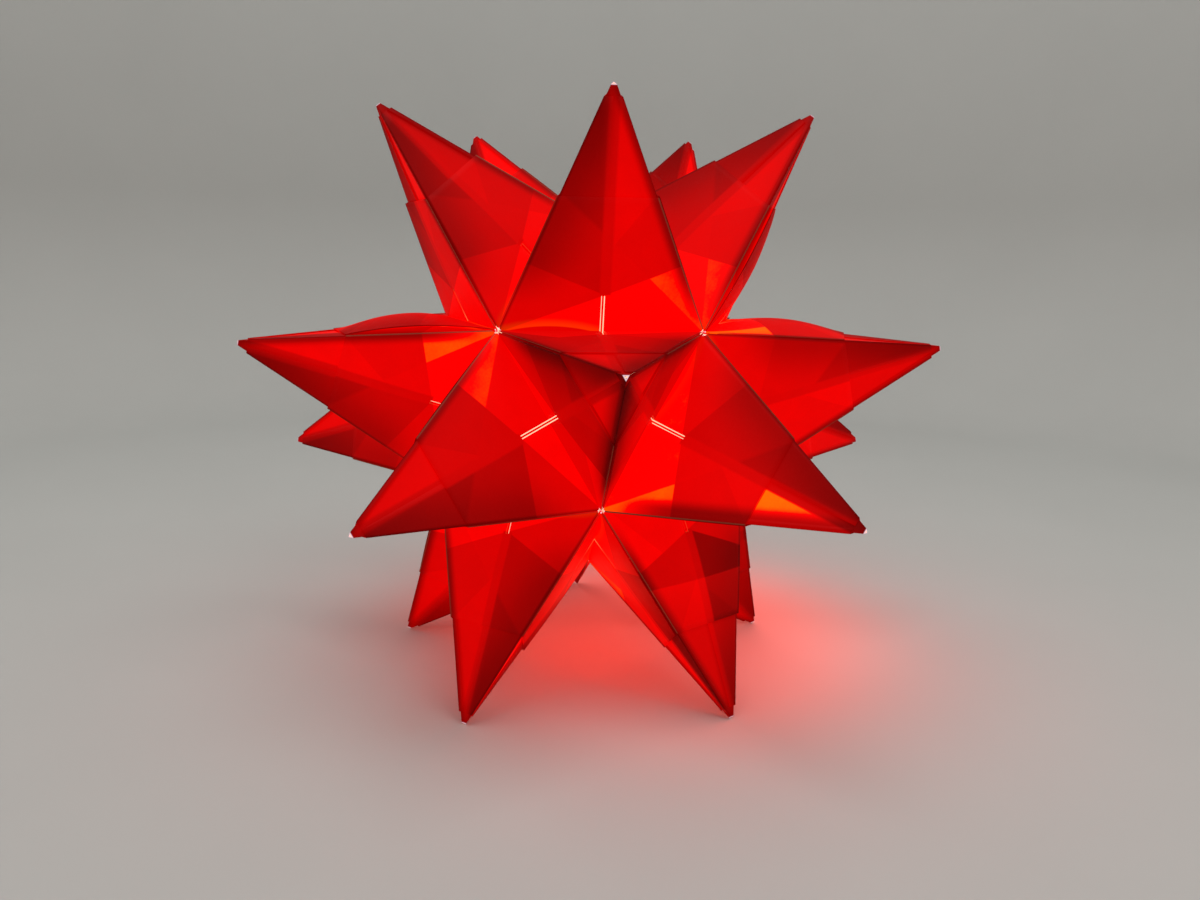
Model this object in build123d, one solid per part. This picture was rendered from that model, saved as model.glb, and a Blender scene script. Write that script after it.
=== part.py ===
# Modular origami star: thirty folded paper units, one on each edge of an icosahedron, round a small light.
# Units are millimetres. +Z is up, the front faces -Y, and the origin is on the floor under the middle.
from build123d import *
import os
from math import acos, atan, cos, degrees, pi, sin, sqrt

# Paper units
sheet_side = 150.0          # side of the square sheet that one unit is folded from
wall = 0.2                  # pressed thickness of one folded wall
play = 0.1                  # room between walls that slide over each other
seam = 0.3                  # open seam along a ridge, where the free edge of a pocket lies
crease_width = 1.2          # how far the pressed crease reaches in from a ridge
slit_width = 1.3            # slit at the middle of the valley, in the pocket
slit_bridge = 0.4           # strip of the inner wall that crosses the slit
pinhole = 0.9               # half the opening where five units meet
tip_blunt = 1.9             # how far a spike ends below its ideal point
tab_setback = 5.0           # how far a tab ends below the ideal point of its spike
overrun = 6.0               # how far a blank is left long before it is trimmed

# Light inside
light_radius = 25.0         # outside of its body
light_foot = 17.0           # radius of the flat underside
light_height = 15.0         # body, from the top of its bevel to its shoulder
light_edge = 1.5            # rounding of the body's shoulder
dome_radius = 20.5          # outside of the diffuser at its rim
dome_rise = 11.0            # height of the diffuser above the shoulder
dome_wall = 1.4             # its thickness
dome_seat = 1.0             # depth of the groove that the rim sits in
dome_fit = 0.1              # room beside the rim in that groove
light_gap = 0.2             # room between the light's bevel and the folds that it rests on

# Numbers of the icosahedron and of the fold, as shares of the edge
golden_share = (1 + sqrt(5)) / 2
vertex_radius_share = sqrt(golden_share * sqrt(5)) / 2
edge_radius_share = golden_share / 2
face_radius_share = golden_share ** 2 / (2 * sqrt(3))
ring_height_share = 1 / sqrt(5)
ring_radius_share = 2 / sqrt(5)
edge_of_sheet_share = sqrt(2) - 1
altitude_share = (sqrt(2) + 1) / 2
slit_share = (sqrt(2) - 1) / 2
pocket_share = 0.69         # as the photo shows it, just under the ideal fold's sqrt(2) / 2

# Sizes of the star
edge = sheet_side * edge_of_sheet_share
half_edge = edge / 2
altitude = edge * altitude_share
ridge = sqrt(altitude ** 2 + half_edge ** 2)
slit_top = edge * slit_share
pocket_top = edge * pocket_share
vertex_radius = edge * vertex_radius_share
edge_radius = edge * edge_radius_share
face_radius = edge * face_radius_share
spike_height = sqrt(altitude ** 2 - edge ** 2 / 12)
tip_radius = face_radius + spike_height
tab_top = altitude - tab_setback

# Sizes of the diffuser: the sphere that it is a cap of, and the inside of its rim
sphere_radius = (dome_radius ** 2 + dome_rise ** 2) / (2 * dome_rise)
dome_inner = sqrt((sphere_radius - dome_wall) ** 2 - (sphere_radius - dome_rise) ** 2)
quarter_turn = degrees(pi / 2)

# Levels above a panel's outer side: the tab of the next unit slides between the panel and the pocket
tab_low = play
tab_high = tab_low + wall
pocket_low = tab_high + play
pocket_high = pocket_low + wall

# One unit's own frame: star centre at the origin, valley fold along X, radial axis through its middle along Z
spoke_angle = acos(face_radius / edge_radius)
centre = Vector(0, 0, 0)
valley_middle = Vector(0, 0, edge_radius)
valley_right = Vector(half_edge, 0, edge_radius)
valley_left = Vector(-half_edge, 0, edge_radius)
tip_axis = Vector(0, sin(spoke_angle), cos(spoke_angle))
tip = tip_axis * tip_radius
panel_rise = (tip - valley_middle).normalized()
panel_normal = Vector(1, 0, 0).cross(panel_rise)
panel_plane = Plane(origin=valley_middle, x_dir=(1, 0, 0), z_dir=panel_normal)

# Planes that bound a panel: its two ridges, its valley fold, its blunt tip and the pinholes at its corners
right_normal = valley_right.cross(tip).normalized()
left_normal = tip.cross(valley_left).normalized()
right_ridge = Plane(origin=centre, z_dir=right_normal)
left_ridge = Plane(origin=centre, z_dir=left_normal)
valley_fold = Plane(origin=centre, z_dir=(0, 1, 0))
tip_end = Plane(origin=tip - tip_axis * tip_blunt, z_dir=tip_axis * -1)
right_inward = Vector(0, 1, 0).cross(valley_right).normalized() * -1
left_inward = Vector(0, 1, 0).cross(valley_left).normalized()
right_pinhole = Plane(origin=valley_right + right_inward * pinhole, z_dir=right_inward)
left_pinhole = Plane(origin=valley_left + left_inward * pinhole, z_dir=left_inward)


# A flat wall on the panel's plane, trimmed where it meets its neighbours
def make_wall(outline, low, high, left_gap, fold_gap=0):
    blank = extrude(panel_plane.offset(low) * make_face(Polyline(*outline, close=True)), high - low)
    for plane in (right_ridge, left_ridge.offset(left_gap), valley_fold.offset(fold_gap), tip_end,
                  right_pinhole, left_pinhole):
        blank = split(blank, bisect_by=plane, keep=Keep.TOP)
    return blank


# A blank as wide as the panel, from below the valley up to a height
def panel_blank(top):
    side = half_edge + overrun
    return [(-side, -overrun), (side, -overrun), (side, top), (-side, top)]


# The strip beside the right ridge where walls are pressed together
def crease_blank(top):
    side = half_edge + overrun
    inset = crease_width * ridge / altitude
    slope = half_edge / altitude
    low_x = half_edge + slope * overrun - inset
    high_x = half_edge - slope * top - inset
    return [(low_x, -overrun), (side, -overrun), (side, top), (high_x, top)]


# A cut along the altitude, from the valley up to the end of the slit
def slit_cut(left, right, low, high):
    outline = [(left, -overrun), (right, -overrun), (right, slit_top), (left, slit_top)]
    return extrude(panel_plane.offset(low) * make_face(Polyline(*outline, close=True)), high - low)


# The inner wall: one full side of a spike, with two narrow slits beside a bridge
def make_panel():
    panel = make_wall(panel_blank(altitude + overrun), -wall, 0, play)
    for left, right in ((-slit_width / 2, -slit_bridge / 2), (slit_bridge / 2, slit_width / 2)):
        panel -= slit_cut(left, right, -wall - overrun, overrun)
    return panel


# The outer wall: a flap over the lower part of the side, slit at its middle, free along its left ridge
def make_pocket():
    pocket = make_wall(panel_blank(pocket_top), pocket_low, pocket_high, seam)
    return pocket - slit_cut(-slit_width / 2, slit_width / 2, pocket_low - overrun, pocket_high + overrun)


# The tab: the panel carried on over the right ridge, to lie on the next unit's panel under its pocket
def make_tab():
    side = half_edge + overrun
    drop = overrun * slit_top / half_edge
    outline = [(0, slit_top), (side, -drop), (side, tab_top), (0, tab_top)]
    return mirror(make_wall(outline, tab_low, tab_high, play, play), about=right_ridge)


# One unit: two alike halves, turned half a turn about the middle of the valley fold
def make_unit():
    ridge_crease = make_wall(crease_blank(tab_top), -wall, tab_high, play)
    pocket_crease = make_wall(crease_blank(pocket_top), -wall, pocket_high, play)
    half = make_panel() + ridge_crease + pocket_crease + make_pocket() + make_tab()
    return half + half.rotate(Axis.Z, degrees(pi))


# Corners of the icosahedron, one up and one down, with a ring of five after each
def ring_corners(first_turn, height):
    turns = [first_turn + 2 * pi * k / 5 for k in range(5)]
    radius = vertex_radius * ring_radius_share
    return [Vector(radius * sin(turn), -radius * cos(turn), height) for turn in turns]


# Height of the centre over the floor, with five blunt tips on it
def standing_height():
    lean = acos(face_radius / vertex_radius)
    tip_corner = tip_blunt / spike_height * edge / sqrt(3)
    return (tip_radius - tip_blunt) * cos(lean) + tip_corner * sin(lean)


# All thirty places, named by ring from the top down
def unit_places():
    ring_height = vertex_radius * ring_height_share
    top = Vector(0, 0, vertex_radius)
    bottom = Vector(0, 0, -vertex_radius)
    upper = ring_corners(pi / 5, ring_height)
    lower = ring_corners(0, -ring_height)
    places = {}
    for k in range(5):
        after = (k + 1) % 5
        places[f"top_unit_{k + 1}"] = (top, upper[k])
        places[f"upper_unit_{k + 1}"] = (upper[k], upper[after])
        places[f"belt_unit_{2 * k + 1:02d}"] = (lower[k], upper[k])
        places[f"belt_unit_{2 * k + 2:02d}"] = (upper[k], lower[after])
        places[f"lower_unit_{k + 1}"] = (lower[k], lower[after])
        places[f"bottom_unit_{k + 1}"] = (lower[k], bottom)
    return places


# The light's body: a round puck whose bevel follows the five folds that it rests on
def make_light_base(seat_slope, seat_start):
    bevel_low = seat_start + light_foot * seat_slope
    bevel_high = seat_start + light_radius * seat_slope
    shoulder = bevel_high + light_height
    profile = Polyline((0, bevel_low), (light_foot, bevel_low), (light_radius, bevel_high),
                       (light_radius, shoulder), (0, shoulder), close=True)
    body = revolve(Plane.XZ * make_face(profile), Axis.Z)
    rim = body.edges().filter_by(GeomType.CIRCLE).group_by(Axis.Z)[-1]
    body = fillet(rim, light_edge)
    groove = Cylinder(dome_radius + dome_fit, dome_seat) - Cylinder(dome_inner - dome_fit, dome_seat)
    return body - Pos(0, 0, shoulder - dome_seat / 2) * groove, shoulder


# The diffuser: a shallow hollow cap of a sphere, whose rim sits in the groove
def make_light_dome(shoulder):
    foot = shoulder - dome_seat
    crown = shoulder + dome_rise
    drop = sphere_radius - dome_rise
    middle = (0, crown - sphere_radius)
    outer_turn = degrees(atan(drop / dome_radius))
    inner_turn = degrees(atan(drop / dome_inner))
    outside = Line((dome_radius, foot), (dome_radius, shoulder))
    outer_arc = CenterArc(middle, sphere_radius, outer_turn, quarter_turn - outer_turn)
    inner_arc = CenterArc(middle, sphere_radius - dome_wall, inner_turn, quarter_turn - inner_turn)
    top = Line((0, crown), (0, crown - dome_wall))
    inside = Line((dome_inner, shoulder), (dome_inner, foot))
    under = Line((dome_inner, foot), (dome_radius, foot))
    return revolve(Plane.XZ * make_face([outside, outer_arc, top, inner_arc, inside, under]), Axis.Z)


def main():
    os.makedirs("parts", exist_ok=True)
    star_centre = Vector(0, 0, standing_height())
    unit = make_unit()
    print("unit:", len(unit.solids()), "solid", round(unit.volume, 2), "mm3", len(unit.faces()), "faces")
    for name, (start, end) in unit_places().items():
        place = Plane(origin=star_centre, x_dir=end - start, z_dir=start + end)
        export_step(place.location * unit, f"parts/{name}.step")
    # Slope of the folds above the bottom pinhole, and where their inner sides would meet the axis
    fold_slope = golden_share - 1
    half_valley = acos(panel_rise.Z)
    fold_inset = (wall / sin(half_valley) + light_gap) / cos(atan(fold_slope))
    seat_start = star_centre.Z - vertex_radius + fold_inset
    light_base, shoulder = make_light_base(fold_slope, seat_start)
    export_step(light_base, "parts/light_base.step")
    export_step(make_light_dome(shoulder), "parts/light_dome.step")
    print("sheet", sheet_side, "edge", round(edge, 2), "tip radius", round(tip_radius - tip_blunt, 2),
          "centre height", round(star_centre.Z, 2))


main()
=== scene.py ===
import math
import random
import bpy
import bmesh
from mathutils import Matrix, Vector


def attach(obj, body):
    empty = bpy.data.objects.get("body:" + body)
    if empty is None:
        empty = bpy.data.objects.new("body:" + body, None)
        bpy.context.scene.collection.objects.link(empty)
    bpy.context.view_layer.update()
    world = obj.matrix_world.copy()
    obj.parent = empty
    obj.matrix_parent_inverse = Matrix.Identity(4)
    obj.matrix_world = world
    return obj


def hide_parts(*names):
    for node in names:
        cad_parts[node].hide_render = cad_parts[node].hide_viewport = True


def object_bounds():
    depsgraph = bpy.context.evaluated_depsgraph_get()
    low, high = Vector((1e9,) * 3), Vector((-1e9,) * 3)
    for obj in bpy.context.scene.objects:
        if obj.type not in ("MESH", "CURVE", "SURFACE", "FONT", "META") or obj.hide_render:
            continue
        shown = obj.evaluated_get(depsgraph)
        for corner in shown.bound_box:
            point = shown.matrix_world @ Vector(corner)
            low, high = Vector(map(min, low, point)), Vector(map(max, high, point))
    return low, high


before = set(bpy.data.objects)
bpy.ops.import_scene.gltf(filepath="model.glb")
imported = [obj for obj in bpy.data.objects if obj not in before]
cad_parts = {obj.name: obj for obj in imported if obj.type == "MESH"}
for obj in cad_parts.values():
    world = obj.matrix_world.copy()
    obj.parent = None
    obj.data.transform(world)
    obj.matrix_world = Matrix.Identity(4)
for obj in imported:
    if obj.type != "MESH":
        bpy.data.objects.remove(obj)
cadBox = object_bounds()
cadLow, cadHigh = cadBox
starCentre = (cadLow + cadHigh) / 2
print("frame loaded:", len(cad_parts), "nodes")

# the folded sheet, in metres, close to how it is built in the solids
fold = {
    "sheetSide": 0.150,
    "wall": 0.0002,            # pressed thickness of one wall
    "play": 0.0001,            # room between walls
    "ridgeGap": 0.00002,       # room between two panels along a ridge
    "seam": 0.0002,            # open seam along the free edge of a pocket
    "creaseWidth": 0.0012,
    "slitWidth": 0.0012,
    "slitBridge": 0.0006,      # strip of the inner wall that crosses a slit
    "pinhole": 0.0009,         # half the opening where five units meet
    "tipBlunt": 0.0019,
    "tabSetback": 0.005,       # how far a tab ends below the point of its spike
    "tabFoot": 0.0003,         # and how far it starts above the valley
    "pocketShare": 0.69,       # height of a pocket, in edges
    "creaseTuck": 0.00005,     # keeps the crease off the planes of the walls that it joins
    "creaseFoot": 1 / 6,       # height at which it starts, as a share of the slit
}

# how lively the paper is: each half of a unit has its own belly and lip where a pocket gapes (shares of puff),
# its shade along the ridges, its glow, that of its right spire, kite and corner and of its left side (dusk),
# the width and strength of its right ridge's shade and seam, and how orange the light is along its left foot
paperShape = {
    "puff": 0.0046,
    "openEdge": 0.4,           # share of the belly that lifts the free edge, and not the middle of the pocket
    "openCurve": 1.2,
    "bellyCurve": 0.85,
    "warp": 0.00025,           # slow waviness of every wall
    "warpScale": 38.0,
    "stiffEdge": 0.006,        # how far in from a fold the waves reach their full height
    "least": {"belly": 0.08, "lip": 0.0, "shade": 0.0, "glow": 0.93, "spire": 0.72, "ridge": 0.6,
              "corner": 0.95, "shiftX": -0.012, "shiftY": -0.012, "kite": 0.88, "dusk": 0.85, "foot": 0.0},
    "most": {"belly": 0.34, "lip": 0.12, "shade": 0.12, "glow": 1.05, "spire": 1.14, "ridge": 1.3,
             "corner": 1.19, "shiftX": 0.012, "shiftY": 0.012, "kite": 1.12, "dusk": 1.18, "foot": 0.8},
    "seed": 11,
    "seedStep": 3.7,
    # what the photograph shows, by unit and half
    "seen": {
        ("upper_unit_5", 0): {"belly": 0.18, "glow": 1.0, "spire": 0.86, "corner": 1.09, "ridge": 1.0,
                              "kite": 1.04, "dusk": 1.03, "foot": 1.0},
        ("upper_unit_5", 1): {"belly": 0.20, "glow": 0.97, "shade": 0.38, "spire": 0.80, "corner": 0.46,
                              "kite": 0.74, "dusk": 1.18, "foot": 0.0},
        ("belt_unit_01", 0): {"belly": 0.15, "glow": 0.98, "shade": 0.48, "spire": 0.82, "corner": 0.52,
                              "kite": 0.68, "dusk": 1.55, "foot": 0.0},
        ("belt_unit_10", 0): {"belly": 0.15, "glow": 0.90, "shade": 0.75, "spire": 0.98, "corner": 0.90,
                              "kite": 0.80, "dusk": 1.05, "foot": 0.0},
        ("belt_unit_01", 1): {"belly": 0.15, "glow": 1.03, "spire": 1.52, "corner": 1.20, "ridge": 1.9,
                              "kite": 1.04, "dusk": 1.08, "foot": 0.1},
        ("belt_unit_10", 1): {"belly": 0.15, "glow": 0.95, "spire": 0.84, "corner": 1.12, "ridge": 0.8,
                              "kite": 0.88, "dusk": 0.92, "foot": 0.0},
        ("top_unit_5", 1): {"glow": 0.98, "spire": 0.63, "corner": 0.77, "kite": 0.90, "dusk": 1.0},
        ("top_unit_1", 0): {"glow": 1.0, "spire": 0.84, "corner": 1.06, "kite": 1.04, "dusk": 1.0},
        ("belt_unit_09", 0): {"glow": 1.0, "spire": 0.94, "corner": 1.17, "kite": 1.12, "dusk": 1.08},
        ("belt_unit_02", 0): {"glow": 1.08, "spire": 0.74, "corner": 1.0, "kite": 1.07, "dusk": 1.26},
        ("lower_unit_5", 1): {"glow": 0.94, "spire": 0.76, "corner": 0.92, "kite": 1.0, "dusk": 0.92},
        ("lower_unit_1", 1): {"glow": 0.85, "spire": 0.70, "corner": 1.05, "ridge": 1.2,
                              "kite": 1.0, "dusk": 0.54},
        ("upper_unit_1", 0): {"belly": 0.70, "lip": 0.32, "foot": 0.0},
        ("upper_unit_1", 1): {"belly": 0.88, "lip": 0.03, "corner": 1.34, "foot": 1.0},
        ("upper_unit_4", 0): {"belly": 0.12, "lip": 0.15, "foot": 0.0},
        ("upper_unit_4", 1): {"belly": 1.12, "lip": 0.05, "foot": 0.7},
    },
}

edge = fold["sheetSide"] * (math.sqrt(2) - 1)
halfEdge = edge / 2
altitude = edge * (math.sqrt(2) + 1) / 2
ridgeLength = math.hypot(altitude, halfEdge)
slitTop = edge * (math.sqrt(2) - 1) / 2
pocketTop = edge * fold["pocketShare"]
tabTop = altitude - fold["tabSetback"]
golden = (1 + math.sqrt(5)) / 2
vertexRadius = edge * math.sqrt(golden * math.sqrt(5)) / 2
edgeRadius = edge * golden / 2
faceRadius = edge * golden ** 2 / (2 * math.sqrt(3))
spikeHeight = math.sqrt(altitude ** 2 - edge ** 2 / 12)
tipRadius = faceRadius + spikeHeight

# levels above a panel's outer side
tabLow = fold["play"]
tabHigh = tabLow + fold["wall"]
pocketLow = tabHigh + fold["play"]
pocketHigh = pocketLow + fold["wall"]

# a unit's own frame: star centre at the origin, valley fold along X, radial axis along Z
spokeAngle = math.acos(faceRadius / edgeRadius)
valleyMiddle = Vector((0, 0, edgeRadius))
tipPoint = Vector((0, math.sin(spokeAngle), math.cos(spokeAngle))) * tipRadius
panelRight = Vector((1, 0, 0))
panelRise = (tipPoint - valleyMiddle).normalized()
panelNormal = panelRight.cross(panelRise)
cornerRight = Vector((halfEdge, 0, edgeRadius))
ridgeNormal = cornerRight.cross(tipPoint).normalized()
ridgeSine = abs(ridgeNormal.dot(panelNormal))
ridgeCosine = math.sqrt(1 - ridgeSine ** 2)
foldCotangent = panelRise.z / panelRise.y
tipCosine = panelRise.dot(tipPoint.normalized())
tipSine = panelNormal.dot(tipPoint.normalized())
inward = Vector((0, 1, 0)).cross(cornerRight).normalized() * -1


# one board wraps a node tree, and one wire wraps a socket, so that sums read as sums
class Wire:
    def __init__(self, board, socket):
        self.board = board
        self.socket = socket

    def maths(self, operation, *others, clamp=False):
        return self.board.add("ShaderNodeMath", {"operation": operation, "use_clamp": clamp}, [self, *others])

    def __add__(self, other):
        return self.maths("ADD", other)

    def __radd__(self, other):
        return self.maths("ADD", other)

    def __sub__(self, other):
        return self.maths("SUBTRACT", other)

    def __rsub__(self, other):
        return self.board.add("ShaderNodeMath", {"operation": "SUBTRACT"}, [other, self])

    def __mul__(self, other):
        return self.maths("MULTIPLY", other)

    def __rmul__(self, other):
        return self.maths("MULTIPLY", other)

    def __truediv__(self, other):
        return self.maths("DIVIDE", other)

    # 0 below low, 1 above high
    def between(self, low, high):
        return self.board.add("ShaderNodeMapRange", {"interpolation_type": "SMOOTHSTEP"},
                              [self, low, high, 0.0, 1.0])

    # 1 where positive and 0 where negative, over a soft step of this width
    def over(self, width):
        return self.maths("MULTIPLY_ADD", 1 / width, 0.5, clamp=True)


class Board:
    def __init__(self, tree):
        self.tree = tree

    def add(self, kind, settings=None, values=(), output=0):
        node = self.tree.nodes.new(kind)
        for key, value in (settings or {}).items():
            setattr(node, key, value)
        pairs = values.items() if isinstance(values, dict) else enumerate(values)
        for key, value in pairs:
            if isinstance(value, Wire):
                self.tree.links.new(value.socket, node.inputs[key])
            elif value is not None:
                node.inputs[key].default_value = value
        return Wire(self, node.outputs[output]) if len(node.outputs) else node

    def out(self, wire, name):
        return Wire(self, wire.socket.node.outputs[name])

    def mix(self, factor, first, second):
        return self.add("ShaderNodeMix", {"data_type": "RGBA"}, {0: factor, 6: first, 7: second}, 2)


def pick(mask, inside, outside):
    return mask * (inside - outside) + outside


# how brightly each part of a side lets the light through, by how many plies lie there
plies = {
    "cornerRight": 1.0,       # beside the right corner, one ply
    "footRight": 0.97,
    "middleRight": 0.70,
    "kiteRight": 0.68,
    "wedgeRight": 0.74,
    "spireRight": 0.94,
    "footLeft": 0.97,
    "kiteLeft": 0.70,
    "middleLeft": 0.51,
    "wedgeLeft": 0.41,
    "spireLeft": 0.46,
    "gap": 0.62,              # narrow band up the middle, between the inner edges
}
# where the plies end on a side, in edges from the middle of its valley
plyLines = {
    "slitEnd": (0.0, 0.2071),
    "notch": (0.036, 0.466),
    "cornerR": (0.5, 0.0),
    "cornerL": (-0.5, 0.0),
    "ridgeR": (0.3536, 0.3536),
    "ridgeL": (-0.3536, 0.3536),
    "topR": (0.2071, fold["pocketShare"]),
    "topL": (-0.2071, fold["pocketShare"]),
    "softness": 0.006,
    "gapHalf": 0.026,
}
paperLook = {
    "base": (0.090, 0.0010, 0.0010, 1),
    "baseDeep": (0.070, 0.0008, 0.0008, 1),
    "seam": (0.140, 0.047, 0.029, 1),
    "seamGlow": (0.110, 0.010, 0.005, 1),
    # colours of the light painted on the inner sides, along the slits, and round the corners' pinholes and at the
    # open tips
    "inner": (1.38, 0.82, 0.58, 1),
    "innerDim": (0.9, 0.8, 0.7),
    "innerScale": 120.0,
    "slit": (1.10, 0.36, 0.12, 1),
    "dot": (1.18, 0.90, 1.04, 1),
    "cloud": 0.08,
    "cloudScale": 160.0,
    "grain": 0.04,
    "grainScale": 1500.0,
    "tooth": 0.25,             # strength and depth of the paper's bump
    "toothDepth": 0.0002,
    "roughLow": 0.55,
    "roughHigh": 0.72,
    "roughInner": 0.7,
    "gloss": 0.03,
    "glossInner": 0.1,
    "orangeFrom": 1.02,        # above this brightness the light turns orange, by this much green
    "orangeGain": 0.36,
}
# marks on a side, with the painted light of its slits, corners and tips and the painted orange light and shade
# along its left foot, in edges
paperMarks = {
    "overhang": 0.0065,        # how far the outer ply stands out past the ridge of the sheet
    "seamWidth": -0.0020,
    "seamSoft": 0.0025,
    "seamEndSoft": 0.01,
    "seamGain": 0.7,
    "slitEdge": 0.0096,        # half widths of a slit's lit edges and of the strip between them
    "slitStrip": 0.0042,
    "slitSoft": 0.002,
    "slitDim": (0.02, 0.12, 0.8),     # heights between which a slit's light fades, and by how much
    "dotTip": 1.1735,          # height of a side above which its tip shines, and how much
    "dotTipGain": 0.6,
    "dotTipSoft": 0.003,
    "dotReach": 0.021,         # how far the light spills round a corner, and the share of it that is full
    "dotFull": 0.7,
    "footArc": 0.04,           # rise of the arc along a left foot, and the reach of the orange light over it
    "footReach": 0.05,
    "footSoft": 0.004,
    "footTop": (0.10, 0.14),
    "footGreen": 0.026,
    "footDark": 0.25,
}
# shades on a side: reach in edges, heights between which they come in, and depth
paperShade = {
    "leftFrom": (-0.05, 0.04),
    "ridgeReach": 0.050,
    "ridgeHeights": (0.03, 0.34),
    "ridgeDepth": 0.68,
    "ridgeBandFrom": 1.3,      # a ridge value above this makes the shade start with a full band, by this much
    "ridgeBand": 0.025,
    "edgeReach": 0.015,
    "edgeDepth": 0.5,
    "leftReach": 0.30,
    "leftHeights": (0.10, 0.40),
    "leftDepth": 0.42,
    "tipHeights": (0.55, 1.2),
    "tipDepth": 0.10,
    "tipDepthLeft": 0.32,
    "frontReach": 0.13,        # the shade of spikes that point at the photograph's camera
    "frontHeights": (0.05, 0.40),
    "frontDepth": 0.8,
    "frontRise": (0.15, 0.9),
    "frontRiseDepth": 0.2,
}


def newMaterial(name):
    material = bpy.data.materials.new(name)
    material.use_nodes = True
    material.node_tree.nodes.clear()
    board = Board(material.node_tree)
    return material, board


def closeMaterial(board, shader):
    board.add("ShaderNodeOutputMaterial", {}, {"Surface": shader})


# signed distance from a line, in edges, positive to the right of the way from one point to the other
def rightOf(x, y, start, end):
    runX = end[0] - start[0]
    runY = end[1] - start[1]
    length = math.hypot(runX, runY)
    return (x - start[0]) * (runY / length) - (y - start[1]) * (runX / length)


def plyGlow(x, y, topY, spire, corner, kite, dusk):
    at = plyLines
    soft = at["softness"]
    overSlitR = rightOf(x, y, at["ridgeR"], at["slitEnd"]).over(soft)
    rightOfNotch = 1.0 - rightOf(x, y, at["notch"], at["cornerR"]).over(soft)
    overWedgeR = rightOf(x, y, at["topR"], at["notch"]).over(soft)
    overFootL = rightOf(x, y, at["slitEnd"], at["cornerL"]).over(soft)
    overSlitL = rightOf(x, y, at["slitEnd"], at["ridgeL"]).over(soft)
    overWedgeL = rightOf(x, y, at["notch"], at["topL"]).over(soft * 3)
    overTop = (topY - at["topR"][1]).over(soft)
    footR = pick(rightOfNotch, corner * plies["cornerRight"], kite.maths("MINIMUM", 1.0) * plies["footRight"])
    bodyR = pick(rightOfNotch, plies["kiteRight"], plies["middleRight"])
    bodyR = pick(overWedgeR, plies["wedgeRight"], bodyR) * kite
    right = pick(overTop, spire * plies["spireRight"], pick(overSlitR, bodyR, footR))
    footL = pick(overFootL, plies["kiteLeft"], plies["footLeft"])
    bodyL = pick(overWedgeL, plies["wedgeLeft"], plies["middleLeft"])
    left = pick(overTop, dusk * plies["spireLeft"], pick(overSlitL, bodyL * dusk, footL))
    side = pick(x.over(soft), right, left)
    inGap = (at["gapHalf"] - x.maths("ABSOLUTE")).over(soft * 2) * (y - at["slitEnd"][1]).over(soft)
    return pick(inGap, plies["gap"], side)


# how far the shades on a side let the light through
def shadeGlow(x, y, fromRight, fromLeft, ridge, shade):
    at = paperShade
    onLeft = 1.0 - x.between(*at["leftFrom"])
    ridgeBand = ((ridge - at["ridgeBandFrom"]) * at["ridgeBand"]).maths("MAXIMUM", 0.0)
    ridgeDark = 1.0 - (fromRight / ridge).between(ridgeBand, at["ridgeReach"])
    ridgeFade = 1.0 - ridgeDark * y.between(*at["ridgeHeights"]) * at["ridgeDepth"]
    edgeFade = fromLeft.between(0.0, at["edgeReach"]) * (1 - at["edgeDepth"]) + at["edgeDepth"]
    leftDark = 1.0 - fromLeft.between(0.0, at["leftReach"])
    leftFade = 1.0 - leftDark * onLeft * y.between(*at["leftHeights"]) * at["leftDepth"]
    tipFade = 1.0 - y.between(*at["tipHeights"]) * (onLeft * at["tipDepthLeft"] + at["tipDepth"])
    nearRidge = 1.0 - fromRight.maths("MINIMUM", fromLeft).between(0.0, at["frontReach"])
    frontDark = nearRidge * y.between(*at["frontHeights"]) * at["frontDepth"] \
        + y.between(*at["frontRise"]) * at["frontRiseDepth"]
    return ridgeFade * edgeFade * leftFade * tipFade * (1.0 - frontDark * shade)


# light through the slits, the pinholes at the corners and the open tips, over the colour of the paper's light
def addOpenings(board, light, x, y):
    at = paperMarks
    aside = x.maths("ABSOLUTE")
    inSlit = (at["slitEdge"] - aside).over(at["slitSoft"]) * (aside - at["slitStrip"]).over(at["slitSoft"])
    belowEnd = (plyLines["slitEnd"][1] + at["slitSoft"] - y).over(2 * at["slitSoft"])
    dimLow, dimHigh, dimDepth = at["slitDim"]
    slitGlow = inSlit * belowEnd * (1.0 - y.between(dimLow, dimHigh) * dimDepth)
    light = board.mix(slitGlow, light, paperLook["slit"])
    cornerX = 0.5 - aside
    away = (cornerX * cornerX + y * y).maths("SQRT")
    byCorner = 1.0 - away.between(at["dotReach"] * at["dotFull"], at["dotReach"])
    byTip = (y - at["dotTip"]).over(at["dotTipSoft"]) * at["dotTipGain"]
    return board.mix(byCorner + byTip, light, paperLook["dot"])


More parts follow.
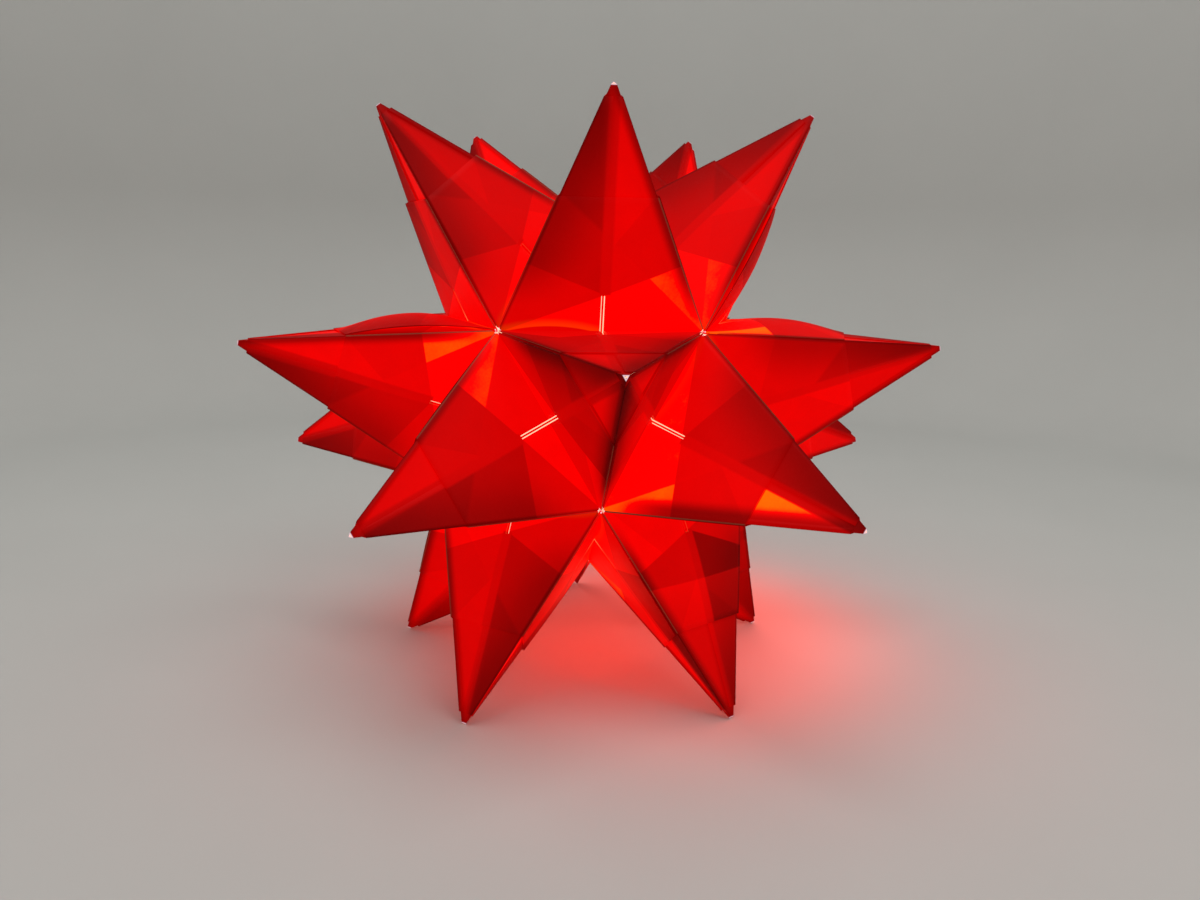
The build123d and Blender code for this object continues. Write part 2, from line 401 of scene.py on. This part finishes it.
def makePaper():
    material, board = newMaterial("lit red paper")
    pattern = board.add("ShaderNodeUVMap", {"uv_map": "pattern"})
    across = board.add("ShaderNodeSeparateXYZ", {}, [pattern])
    x = across - 0.5
    y = board.out(across, "Y")
    place = board.add("ShaderNodeTexCoord", {}, (), 3)
    cloud = board.add("ShaderNodeTexNoise", {}, {
        "Vector": place, "Scale": paperLook["cloudScale"], "Detail": 4.0})
    fibre = board.add("ShaderNodeTexNoise", {}, {
        "Vector": place, "Scale": paperLook["grainScale"], "Detail": 3.0})
    stored = lambda name: board.add("ShaderNodeSeparateXYZ", {}, [
        board.add("ShaderNodeAttribute", {"attribute_name": name}, (), 1)])
    # the last of these holds how bright the painted light is in the right kite and on the left side, and how much
    # orange light is painted along the left foot
    shape, chance, look, lightShare = (stored(name) for name in ("faceShape", "faceChance", "faceLook", "faceTone"))
    ridge = board.out(look, "Z")
    slope = halfEdge / altitude
    leanCosine = altitude / ridgeLength
    fromRight = (0.5 - y * slope - x) * leanCosine + paperMarks["overhang"]
    fromLeft = (0.5 - y * slope + x) * leanCosine + paperMarks["overhang"]
    glow = plyGlow(x + chance, y + board.out(chance, "Y"), y, board.out(look, "Y"), board.out(chance, "Z"),
                   lightShare, board.out(lightShare, "Y"))
    fade = shadeGlow(x, y, fromRight, fromLeft, ridge, board.out(shape, "Z"))
    texture = (cloud - 0.5) * (2 * paperLook["cloud"]) + (fibre - 0.5) * (2 * paperLook["grain"]) + 1.0
    lit = glow * fade * texture * look
    # orange light over an arc along the left foot, and a shade under it
    # (the arc is a parabola over half the valley)
    overArc = y + x * (x + 0.5) * (16 * paperMarks["footArc"])
    byFoot = board.out(lightShare, "Z") * (0.0 - x).over(paperMarks["footSoft"]) \
        * (1.0 - y.between(*paperMarks["footTop"]))
    underArc = (1.0 - overArc.between(-paperMarks["footSoft"], paperMarks["footSoft"])) * byFoot
    footRise = (1.0 - overArc.between(0.0, paperMarks["footReach"])) * byFoot - underArc
    lit = lit * (1.0 - underArc * paperMarks["footDark"])
    green = (lit - paperLook["orangeFrom"]).maths("MAXIMUM", 0.0) * paperLook["orangeGain"] \
        + footRise.maths("MAXIMUM", 0.0) * paperMarks["footGreen"]
    light = board.add("ShaderNodeCombineColor", {}, [lit, green, 0.0])
    # the brown seam along the right ridge, up to the end of the pocket
    inSeam = (paperMarks["seamWidth"] - fromRight).over(paperMarks["seamSoft"]) \
        * (plyLines["topR"][1] - y).over(paperMarks["seamEndSoft"]) \
        * (ridge * paperMarks["seamGain"]).maths("MINIMUM", 1.0)
    light = board.mix(inSeam, light, paperLook["seamGlow"])
    light = addOpenings(board, light, x, y)
    base = board.mix(cloud, paperLook["base"], paperLook["baseDeep"])
    base = board.mix(inSeam, base, paperLook["seam"])
    rough = pick(cloud, paperLook["roughHigh"], paperLook["roughLow"])
    tooth = board.add("ShaderNodeBump", {}, {
        "Strength": paperLook["tooth"], "Distance": paperLook["toothDepth"], "Height": fibre})
    shader = board.add("ShaderNodeBsdfPrincipled", {}, {
        "Base Color": base, "Roughness": rough, "Specular IOR Level": paperLook["gloss"], "Normal": tooth,
        "Emission Color": light, "Emission Strength": 1.0})
    closeMaterial(board, shader)
    return material


# the inner sides, flooded by the light inside
def makeInner():
    material, board = newMaterial("inner side of the paper")
    place = board.add("ShaderNodeTexCoord", {}, (), 3)
    cloud = board.add("ShaderNodeTexNoise", {}, {
        "Vector": place, "Scale": paperLook["innerScale"], "Detail": 3.0})
    dim = [part * share for part, share in zip(paperLook["inner"], paperLook["innerDim"])] + [1]
    light = board.mix(cloud, dim, paperLook["inner"])
    shader = board.add("ShaderNodeBsdfPrincipled", {}, {
        "Base Color": paperLook["base"], "Roughness": paperLook["roughInner"],
        "Specular IOR Level": paperLook["glossInner"], "Emission Color": light, "Emission Strength": 1.0})
    closeMaterial(board, shader)
    return material


# edges of a side at a level above its panel: ridges lean, the valley leans, corners and tip are cut
def ridgeX(y, level, gap):
    lean = (level * ridgeSine - gap) / ridgeCosine
    flat = halfEdge * (1 - y / altitude) + lean * ridgeLength / altitude
    cut = halfEdge - (fold["pinhole"] - inward.dot(panelRise) * y - inward.dot(panelNormal) * level) / -inward.x
    return min(flat, cut)


def valleyY(level):
    return level * foldCotangent


def tipY(level):
    return altitude - (fold["tipBlunt"] + level * tipSine) / tipCosine


def spread(low, high, count):
    return [low + (high - low) * k / count for k in range(count + 1)]


# folded edges are stiff, so the waves of a wall fade towards its ridges, valley and tip
def waveShare(x, y):
    reach = halfEdge * (1 - y / altitude)
    inside = min((reach - abs(x)) * altitude / ridgeLength, y)
    share = min(1.0, max(0.0, inside / paperShape["stiffEdge"]))
    return share * share * (3 - 2 * share)


# how finely the walls are divided
foldMesh = {
    "panelColumns": 7,
    "panelRows": [5, 8, 12],   # up to the slit's end, to the pocket's top and to the tip
    "pocketColumns": 13,
    "pocketRows": [9, 16],
    "tabRows": 16,
    "tabColumns": 8,
    "creaseRows": 12,
    "middleShare": 0.7,        # most that the slit's own columns may take of half a row
    "sharpFrom": 40,           # degrees between faces
}


# a closed thin wall from a grid of places at its lower and upper level, with some cells left out
class Sheet:
    def __init__(self):
        self.mesh = bmesh.new()
        self.pattern = self.mesh.loops.layers.uv.new("pattern")
        self.belly = self.mesh.verts.layers.float.new("bellyShare")
        self.lip = self.mesh.verts.layers.float.new("lipShare")
        self.wave = self.mesh.verts.layers.float.new("waveShare")
        self.normal = self.mesh.verts.layers.float_vector.new("wallNormal")
        self.half = self.mesh.verts.layers.int.new("half")
        self.finish = self.mesh.faces.layers.int.new("finish")

    def place(self, x, y, level, over, turned):
        spot = valleyMiddle + panelRight * x + panelRise * y + panelNormal * level
        normal = panelNormal.copy()
        if over:
            spot = spot - ridgeNormal * (2 * spot.dot(ridgeNormal))
            normal = normal - ridgeNormal * (2 * normal.dot(ridgeNormal))
        if turned:
            spot = Vector((-spot.x, -spot.y, spot.z))
            normal = Vector((-normal.x, -normal.y, normal.z))
        return spot, normal

    def wall(self, grid, low, high, turned, over=False, skip=(), puff=None, inner=0):
        corners = {}
        for level in (low, high):
            for i, row in enumerate(grid(level)):
                for j, (x, y) in enumerate(row):
                    spot, normal = self.place(x, y, level, over, turned)
                    vert = self.mesh.verts.new(spot)
                    vert[self.normal] = normal
                    vert[self.half] = int(turned)
                    vert[self.wave] = waveShare(x, y)
                    vert[self.belly], vert[self.lip] = puff(x, y) if puff else (0.0, 0.0)
                    corners[(level, i, j)] = (vert, (0.5 + (-x if over else x) / edge, y / edge))
        rows = len(grid(low)) - 1
        columns = len(grid(low)[0]) - 1
        cells = [(i, j) for i in range(rows) for j in range(columns) if (i, j) not in skip]
        around = set()
        for i, j in cells:
            loop = [(i, j), (i, j + 1), (i + 1, j + 1), (i + 1, j)]
            around.update(zip(loop, loop[1:] + loop[:1]))
            self.face([corners[(high, *c)] for c in loop], over, 0, True)
            self.face([corners[(low, *c)] for c in reversed(loop)], over, inner, True)
        for first, second in around:
            if (second, first) not in around:
                ends = [(high, *first), (low, *first), (low, *second), (high, *second)]
                self.face([corners[e] for e in ends], over, 0, False)

    def face(self, corners, flip, finish, smooth):
        corners = list(reversed(corners)) if flip else corners
        face = self.mesh.faces.new([vert for vert, _ in corners])
        face[self.finish] = finish
        face.smooth = smooth
        for loop, (_, where) in zip(face.loops, corners):
            loop[self.pattern].uv = where

    def close(self, name):
        for line in self.mesh.edges:
            line.smooth = line.calc_face_angle(math.pi) < math.radians(foldMesh["sharpFrom"])
        lone = [vert for vert in self.mesh.verts if not vert.link_faces]
        bmesh.ops.delete(self.mesh, geom=lone, context="VERTS")
        data = bpy.data.meshes.new(name)
        self.mesh.to_mesh(data)
        self.mesh.free()
        return data


# rows of places across a side, from its left edge to its right, with the slit's own columns in the middle
def sideRows(heights, leftGap, middle, count):
    def grid(level):
        rows = []
        share = foldMesh["middleShare"]
        for y in heights(level):
            right = ridgeX(y, level, 0)
            left = -ridgeX(y, level, leftGap)
            inner = [max(left * share, min(right * share, x)) for x in middle]
            row = spread(left, inner[0], count)[:-1] + inner + spread(inner[-1], right, count)[1:]
            rows.append([(x, y) for x in row])
        return rows
    return grid


def risingHeights(stops, counts):
    def heights(level):
        made = []
        ends = [stop(level) for stop in stops]
        for low, high, count in zip(ends, ends[1:], counts):
            made += spread(low, high, count)[:-1]
        return made + [ends[-1]]
    return heights


def addPanel(sheet, turned):
    columns = foldMesh["panelColumns"]
    counts = foldMesh["panelRows"]
    half = fold["slitWidth"] / 2
    bridge = fold["slitBridge"] / 2
    stops = [valleyY, lambda level: slitTop, lambda level: pocketTop, tipY]
    heights = risingHeights(stops, counts)
    skip = {(i, j) for i in range(counts[0]) for j in (columns, columns + 2)}
    grid = sideRows(heights, fold["ridgeGap"], [-half, -bridge, bridge, half], columns)
    sheet.wall(grid, -fold["wall"], 0, turned, skip=skip, inner=1)


# how a pocket gapes: a belly that is closed at its valley, right ridge and upper edge, and a lip along that edge
def pocketPuff(x, y):
    reach = halfEdge * (1 - y / altitude)
    fromFold = min(1.0, max(0.0, (reach - x) / (2 * reach)))
    upward = min(1.0, max(0.0, y / pocketTop))
    across = math.sin(fromFold * math.pi / 2)
    openEdge = paperShape["openEdge"]
    belly = openEdge * across ** paperShape["openCurve"] + (1 - openEdge) * math.sin(fromFold * math.pi)
    return belly * math.sin(upward * math.pi) ** paperShape["bellyCurve"], across * upward ** 2


def addPocket(sheet, turned):
    columns = foldMesh["pocketColumns"]
    counts = foldMesh["pocketRows"]
    half = fold["slitWidth"] / 2
    stops = [valleyY, lambda level: slitTop, lambda level: pocketTop]
    heights = risingHeights(stops, counts)
    skip = {(i, columns) for i in range(counts[0])}
    grid = sideRows(heights, fold["seam"], [-half, half], columns)
    sheet.wall(grid, pocketLow, pocketHigh, turned, skip=skip, puff=pocketPuff)


def addTab(sheet, turned):
    def grid(level):
        rows = []
        foot = valleyY(level) + fold["tabFoot"]
        for share in spread(0, 1, foldMesh["tabRows"]):
            ridgeY = foot + (tabTop - foot) * share
            middleY = slitTop + (tabTop - slitTop) * share
            outerX = ridgeX(ridgeY, level, 0)
            rows.append([(outerX * k, middleY + (ridgeY - middleY) * k)
                         for k in spread(0, 1, foldMesh["tabColumns"])])
        return rows
    sheet.wall(grid, tabLow, tabHigh, turned, over=True)


# pressed strips by the right ridge that hold panel, tab and pocket together
def addCreases(sheet, turned):
    inset = fold["creaseWidth"] * ridgeLength / altitude
    tuck = fold["creaseTuck"]
    for low, high, top in ((-fold["wall"] / 2, tabHigh, tabTop),
                           (0.0, (pocketLow + pocketHigh) / 2, pocketTop - tuck)):
        def grid(level):
            rows = []
            for y in spread(fold["creaseFoot"] * slitTop, top, foldMesh["creaseRows"]):
                inner = halfEdge * (1 - y / altitude) - inset
                rows.append([(inner, y), (ridgeX(y, level, tuck), y)])
            return rows
        sheet.wall(grid, low, high, turned)


def foldUnit():
    sheet = Sheet()
    for turned in (False, True):
        addPanel(sheet, turned)
        addPocket(sheet, turned)
        addTab(sheet, turned)
        addCreases(sheet, turned)
    return sheet.close("flat unit")


# corners of the icosahedron, as the units are named from the top down
def ringCorners(firstTurn, height):
    radius = vertexRadius * 2 / math.sqrt(5)
    turns = [firstTurn + 2 * math.pi * k / 5 for k in range(5)]
    return [Vector((radius * math.sin(t), -radius * math.cos(t), height)) for t in turns]


def unitPlaces():
    ringHeight = vertexRadius / math.sqrt(5)
    top = Vector((0, 0, vertexRadius))
    upper = ringCorners(math.pi / 5, ringHeight)
    lower = ringCorners(0, -ringHeight)
    places = {}
    for k in range(5):
        after = (k + 1) % 5
        places[f"top_unit_{k + 1}"] = (top, upper[k])
        places[f"upper_unit_{k + 1}"] = (upper[k], upper[after])
        places[f"belt_unit_{2 * k + 1:02d}"] = (lower[k], upper[k])
        places[f"belt_unit_{2 * k + 2:02d}"] = (upper[k], lower[after])
        places[f"lower_unit_{k + 1}"] = (lower[k], lower[after])
        places[f"bottom_unit_{k + 1}"] = (lower[k], -top)
    return places


# the tree that shapes one unit by its own values and sets it on its edge of the star
def unitTree(finishes):
    tree = bpy.data.node_groups.new("place unit", "GeometryNodeTree")
    face = tree.interface
    face.new_socket("Geometry", in_out="INPUT", socket_type="NodeSocketGeometry")
    for name in ("Start", "End", "Centre", "FirstShape", "SecondShape", "FirstLook", "SecondLook",
                 "FirstChance", "SecondChance", "FirstTone", "SecondTone"):
        face.new_socket(name, in_out="INPUT", socket_type="NodeSocketVector")
    for name in ("Puff", "Warp", "WarpScale"):
        face.new_socket(name, in_out="INPUT", socket_type="NodeSocketFloat")
    face.new_socket("Seed", in_out="INPUT", socket_type="NodeSocketInt")
    face.new_socket("Geometry", in_out="OUTPUT", socket_type="NodeSocketGeometry")
    board = Board(tree)
    given = board.add("NodeGroupInput")
    value = lambda name: board.out(given, name)
    named = lambda name, kind: board.add("GeometryNodeInputNamedAttribute", {"data_type": kind}, {"Name": name})
    half = named("half", "INT")
    isSecond = half.maths("GREATER_THAN", 0.5)
    byHalf = lambda name: board.add("ShaderNodeMix", {"data_type": "VECTOR"}, {
        0: isSecond, 4: value("First" + name), 5: value("Second" + name)}, 1)
    shape = byHalf("Shape")
    swell = board.add("ShaderNodeSeparateXYZ", {}, [shape])
    gape = swell * named("bellyShare", "FLOAT") + board.out(swell, "Y") * named("lipShare", "FLOAT")
    outward = board.add("ShaderNodeVectorMath", {"operation": "ADD"}, [value("Start"), value("End")])
    along = board.add("ShaderNodeVectorMath", {"operation": "SUBTRACT"}, [value("End"), value("Start")])
    turn = board.add("FunctionNodeAxesToRotation", {"primary_axis": "Z", "secondary_axis": "X"}, [outward, along])
    # one field of waves for the whole star, so that layers which lie on each other wave together
    place = board.add("FunctionNodeRotateVector", {}, [board.add("GeometryNodeInputPosition"), turn])
    wave = board.add("ShaderNodeTexNoise", {"noise_dimensions": "4D"}, {
        "Vector": place, "W": value("Seed") * paperShape["seedStep"], "Scale": value("WarpScale"), "Detail": 1.0})
    lift = gape * value("Puff") + (wave - 0.5) * named("waveShare", "FLOAT") * value("Warp") * 2.0
    offset = board.add("ShaderNodeVectorMath", {"operation": "SCALE"}, {
        0: named("wallNormal", "FLOAT_VECTOR"), 3: lift})
    shown = board.add("GeometryNodeSetPosition", {}, {"Geometry": given, "Offset": offset})
    for name, kept in (("faceShape", shape), ("faceLook", byHalf("Look")), ("faceChance", byHalf("Chance")),
                       ("faceTone", byHalf("Tone"))):
        shown = board.add("GeometryNodeStoreNamedAttribute", {"data_type": "FLOAT_VECTOR", "domain": "POINT"}, {
            "Geometry": shown, "Name": name, "Value": kept})
    shown = board.add("GeometryNodeTransform", {}, {
        "Geometry": shown, "Translation": value("Centre"), "Rotation": turn})
    shown = board.add("GeometryNodeRealizeInstances", {}, [shown])
    finish = named("finish", "INT")
    for index, material in enumerate(finishes):
        isIt = board.add("FunctionNodeCompare", {"data_type": "INT", "operation": "EQUAL"}, {2: finish, 3: index})
        shown = board.add("GeometryNodeSetMaterial", {}, {
            "Geometry": shown, "Selection": isIt, "Material": material})
    board.add("NodeGroupOutput", {}, [shown])
    return tree


def evaluateUnit(name, flat, tree, values):
    carrier = bpy.data.objects.new(name + "_carrier", flat)
    bpy.context.scene.collection.objects.link(carrier)
    modifier = carrier.modifiers.new("place", "NODES")
    modifier.node_group = tree
    names = {item.name: item.identifier for item in tree.interface.items_tree if item.in_out == "INPUT"}
    for key, value in values.items():
        modifier[names[key]] = value
    graph = bpy.context.evaluated_depsgraph_get()
    data = bpy.data.meshes.new_from_object(carrier.evaluated_get(graph))
    bpy.data.objects.remove(carrier)
    data.name = name
    piece = bpy.data.objects.new(name, data)
    bpy.context.scene.collection.objects.link(piece)
    return piece


# the values of one half: what the photograph shows of it, and chance for the rest
def halfValues(chance, node, half):
    values = {key: chance.uniform(low, paperShape["most"][key]) for key, low in paperShape["least"].items()}
    values.update(paperShape["seen"].get((node, half), {}))
    rows = {"Shape": ("belly", "lip", "shade"), "Look": ("glow", "spire", "ridge"),
            "Chance": ("shiftX", "shiftY", "corner"), "Tone": ("kite", "dusk", "foot")}
    return {("First", "Second")[half] + key: [values[name] for name in names] for key, names in rows.items()}


def makeUnits():
    finishes = [makePaper(), makeInner()]
    flat = foldUnit()
    tree = unitTree(finishes)
    chance = random.Random(paperShape["seed"])
    places = unitPlaces()
    for node, (start, end) in places.items():
        piece = evaluateUnit(node + "_paper", flat, tree, {
            "Start": start, "End": end, "Centre": starCentre, "Puff": paperShape["puff"],
            "Warp": paperShape["warp"], "WarpScale": paperShape["warpScale"], "Seed": paperShape["seed"],
            **halfValues(chance, node, 0), **halfValues(chance, node, 1)})
        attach(piece, "root")
        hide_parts(node)
    print("units folded:", len(places), "with", len(flat.polygons), "faces each")


# the small light inside, seen only through the pinholes
lightLook = {
    "body": (0.72, 0.72, 0.70, 1),
    "bodyWorn": (0.60, 0.60, 0.58, 1),
    "bodyGrain": 900.0,
    "bodyRough": (0.35, 0.50),
    "dome": (0.90, 0.86, 0.78, 1),
    "domeFrost": 700.0,
    "domeRough": (0.50, 0.70),
    "shine": (1.0, 0.88, 0.70, 1),
    "shineStrength": 2.0,
}


def dressLight():
    material, board = newMaterial("light body plastic")
    place = board.add("ShaderNodeTexCoord", {}, (), 3)
    grain = board.add("ShaderNodeTexNoise", {}, {"Vector": place, "Scale": lightLook["bodyGrain"], "Detail": 3.0})
    smooth, rough = lightLook["bodyRough"]
    shader = board.add("ShaderNodeBsdfPrincipled", {}, {
        "Base Color": board.mix(grain, lightLook["body"], lightLook["bodyWorn"]),
        "Roughness": pick(grain, rough, smooth)})
    closeMaterial(board, shader)
    glass, board = newMaterial("light diffuser")
    place = board.add("ShaderNodeTexCoord", {}, (), 3)
    frost = board.add("ShaderNodeTexNoise", {}, {"Vector": place, "Scale": lightLook["domeFrost"], "Detail": 3.0})
    smooth, rough = lightLook["domeRough"]
    shader = board.add("ShaderNodeBsdfPrincipled", {}, {
        "Base Color": lightLook["dome"], "Roughness": pick(frost, rough, smooth),
        "Emission Color": lightLook["shine"], "Emission Strength": lightLook["shineStrength"]})
    closeMaterial(board, shader)
    for node, finish in (("light_base", material), ("light_dome", glass)):
        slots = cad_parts[node].data.materials
        slots.clear()
        slots.append(finish)
    print("light dressed")


# camera, from the photograph's own frame of 1200 by 900
cameraFit = {
    "focalPixels": 956.73,
    "framePixels": 1200,
    "sensor": 36.0,
    "distance": 2.8769,        # in spike lengths from the centre
    "elevation": 8.46,
    "azimuth": -4.06,
    "pan": -0.62,
    "tilt": -3.11,
    "roll": -0.80,
}


def turned(vector, axis, degrees):
    angle = math.radians(degrees)
    return (vector * math.cos(angle) + axis.cross(vector) * math.sin(angle)
            + axis * axis.dot(vector) * (1 - math.cos(angle)))


def makeCamera():
    reach = (tipRadius - fold["tipBlunt"]) * cameraFit["distance"]
    azimuth = math.radians(cameraFit["azimuth"])
    elevation = math.radians(cameraFit["elevation"])
    back = Vector((math.sin(azimuth) * math.cos(elevation), -math.cos(azimuth) * math.cos(elevation),
                   math.sin(elevation)))
    forward = -back
    right = forward.cross(Vector((0, 0, 1))).normalized()
    up = right.cross(forward)
    forward, right = turned(forward, up, cameraFit["pan"]), turned(right, up, cameraFit["pan"])
    forward, up = turned(forward, right, cameraFit["tilt"]), turned(up, right, cameraFit["tilt"])
    right, up = turned(right, forward, cameraFit["roll"]), turned(up, forward, cameraFit["roll"])
    data = bpy.data.cameras.new("camera")
    data.sensor_width = cameraFit["sensor"]
    data.lens = cameraFit["focalPixels"] / cameraFit["framePixels"] * cameraFit["sensor"]
    data.clip_start = 0.01
    camera = bpy.data.objects.new("camera", data)
    bpy.context.scene.collection.objects.link(camera)
    camera.matrix_world = Matrix((
        (right.x, up.x, -forward.x, starCentre.x + back.x * reach),
        (right.y, up.y, -forward.y, starCentre.y + back.y * reach),
        (right.z, up.z, -forward.z, starCentre.z + back.z * reach),
        (0, 0, 0, 1)))
    bpy.context.scene.camera = camera
    print("camera set")


stageLook = {
    "floor": (0.42, 0.42, 0.40, 1),
    "floorDeep": 0.94,         # share of its colour in the darker patches
    "floorPatch": 9.0,
    "floorRough": 0.85,
    "floorGloss": 0.1,
    "floorReach": 0.55,        # flat floor, then a round sweep up to a wall all round
    "sweepRadius": 0.20,
    "sweepSteps": 12,
    "wallHeight": 1.1,
    "sides": 96,
    "world": 0.52,
    # power, size and place
    "key": (11.5, 1.1, (-0.25, -0.2, 1.3)),
    "fill": (2.4, 0.5, (0.42, -0.45, 0.85)),
    # red light that comes through the paper and falls on the floor: power, size, and its place from the middle
    # of the floor, with its height as a share of the star's centre
    "spill": (0.7, 0.045, (0.0, 0.0, 0.45)),
    "wideSpill": (0.22, 0.16, (0.024, 0.016, 0.45)),
    "spillColour": (1.0, 0.05, 0.03),
}


def makeFloor():
    material, board = newMaterial("pale floor")
    place = board.add("ShaderNodeTexCoord", {}, (), 3)
    patch = board.add("ShaderNodeTexNoise", {}, {"Vector": place, "Scale": stageLook["floorPatch"], "Detail": 2.0})
    pale = stageLook["floor"]
    deep = [part * stageLook["floorDeep"] for part in pale[:3]] + [1]
    shader = board.add("ShaderNodeBsdfPrincipled", {}, {
        "Base Color": board.mix(patch, deep, pale), "Roughness": stageLook["floorRough"],
        "Specular IOR Level": stageLook["floorGloss"]})
    closeMaterial(board, shader)
    reach, radius = stageLook["floorReach"], stageLook["sweepRadius"]
    line = [(reach + radius * math.sin(angle), radius * (1 - math.cos(angle)))
            for angle in spread(0, math.pi / 2, stageLook["sweepSteps"])]
    line.append((line[-1][0], stageLook["wallHeight"]))
    sides = stageLook["sides"]
    turns = [2 * math.pi * k / sides for k in range(sides)]
    verts = [(r * math.sin(t), -r * math.cos(t), z) for r, z in line for t in turns] + [(0.0, 0.0, 0.0)]
    faces = [(k, (k + 1) % sides, len(verts) - 1) for k in range(sides)]
    for row in range(len(line) - 1):
        low, high = row * sides, (row + 1) * sides
        faces += [(low + (k + 1) % sides, low + k, high + k, high + (k + 1) % sides) for k in range(sides)]
    data = bpy.data.meshes.new("floor")
    data.from_pydata(verts, [], faces)
    data.polygons.foreach_set("use_smooth", [True] * len(faces))
    data.materials.append(material)
    floor = bpy.data.objects.new("floor", data)
    bpy.context.scene.collection.objects.link(floor)


def addLamp(name, kind, power, place):
    data = bpy.data.lights.new(name, kind)
    data.energy = power
    lamp = bpy.data.objects.new(name, data)
    lamp.location = place
    bpy.context.scene.collection.objects.link(lamp)
    return lamp


# a red lamp, which the camera doesn't see
def addSpill(name, kind, power, place):
    x, y, share = place
    lamp = addLamp(name, kind, power, (starCentre.x + x, starCentre.y + y, starCentre.z * share))
    lamp.data.color = stageLook["spillColour"]
    lamp.visible_camera = False
    return lamp


def makeStage():
    makeFloor()
    world = bpy.data.worlds.new("soft room")
    bpy.context.scene.world = world
    world.use_nodes = True
    world.node_tree.nodes["Background"].inputs["Color"].default_value = (1, 1, 1, 1)
    world.node_tree.nodes["Background"].inputs["Strength"].default_value = stageLook["world"]
    for name in ("key", "fill"):
        power, size, place = stageLook[name]
        lamp = addLamp(name, "AREA", power, place)
        lamp.data.size = size
        lamp.rotation_euler = (starCentre - Vector(place)).to_track_quat("-Z", "Y").to_euler()
    power, size, place = stageLook["spill"]
    addSpill("spill", "POINT", power, place).data.shadow_soft_size = size
    power, size, place = stageLook["wideSpill"]
    lamp = addSpill("wide spill", "AREA", power, place)
    lamp.data.shape = "DISK"
    lamp.data.size = size
    print("stage lit")


bpy.context.scene.view_settings.view_transform = "Standard"
makeUnits()
dressLight()
makeCamera()
makeStage()
